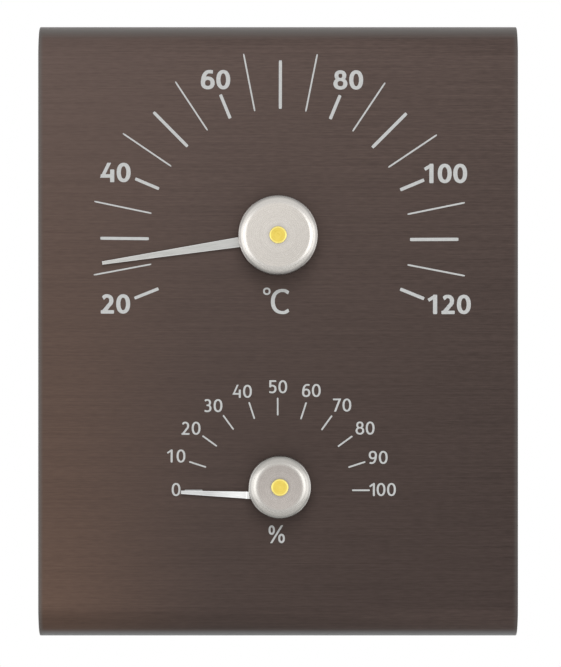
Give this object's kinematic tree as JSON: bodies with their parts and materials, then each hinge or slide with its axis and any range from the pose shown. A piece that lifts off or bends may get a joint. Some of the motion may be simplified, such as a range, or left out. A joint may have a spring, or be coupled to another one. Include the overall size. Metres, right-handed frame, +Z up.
{
  "type": "sauna thermo-hygrometer",
  "caption": "Wall-hung sauna thermometer and hygrometer: a bent metal plate with capped spiral-coil movements that turn flat pointers over printed dials.",
  "frame": {"origin": "on the wall plane, at the centre of the round entry of the hanging hole", "axes": "+Z up, +X to the right of someone who faces the dials, and the dials face -Y"},
  "size_m": [0.137, 0.03, 0.1751],
  "materials": {
    "anodised_plate": "dark brown anodised, fine lines brushed across",
    "dial_print": "screen-printed light grey ink, matt",
    "cap_aluminium": "satin, finely turned",
    "pointer_aluminium": "stamped, plain",
    "carrier_aluminium": "stamped, plain",
    "rivet_aluminium": "plain",
    "turned_brass": "turned",
    "pin_brass": "turned, bright",
    "nut_brass": "plain",
    "washer_brass": "plain",
    "washer_steel": "zinc plated",
    "bimetal_strip": "rolled strip",
    "moisture_strip": "rolled strip with a moisture-sensitive coat"
  },
  "bodies": {
    "plate": {"front_plate": "anodised_plate", "thermometer_post": "turned_brass", "thermometer_thrust_washer": "washer_brass", "thermometer_collar": "turned_brass", "thermometer_coil": "bimetal_strip", "thermometer_cap": "cap_aluminium", "thermometer_cap_pin": "pin_brass", "thermometer_back_washer": "washer_steel", "thermometer_back_nut": "nut_brass", "hygrometer_post": "turned_brass", "hygrometer_thrust_washer": "washer_brass", "hygrometer_collar": "turned_brass", "hygrometer_coil": "moisture_strip", "hygrometer_cap": "cap_aluminium", "hygrometer_cap_pin": "pin_brass", "hygrometer_back_washer": "washer_steel", "hygrometer_back_nut": "nut_brass"},
    "thermometer_hand": {"thermometer_carrier": "carrier_aluminium", "thermometer_pointer": "pointer_aluminium", "thermometer_pointer_rivets": "rivet_aluminium"},
    "hygrometer_hand": {"hygrometer_carrier": "carrier_aluminium", "hygrometer_pointer": "pointer_aluminium", "hygrometer_pointer_rivets": "rivet_aluminium"}
  },
  "joints": [
    {"name": "thermometer_turn", "type": "hinge", "parent": "plate", "child": "thermometer_hand", "pos_m": [0, -0.0223, -0.0441], "axis": [0, 1, 0], "range_deg": [-15, 212], "stiffness_Nm_per_rad": 0.002, "deforming": ["thermometer_coil"]},
    {"name": "hygrometer_turn", "type": "hinge", "parent": "plate", "child": "hygrometer_hand", "pos_m": [0.0005, -0.0223, -0.11575], "axis": [0, 1, 0], "range_deg": [0, 187], "stiffness_Nm_per_rad": 0.0008, "deforming": ["hygrometer_coil"]}
  ]
}
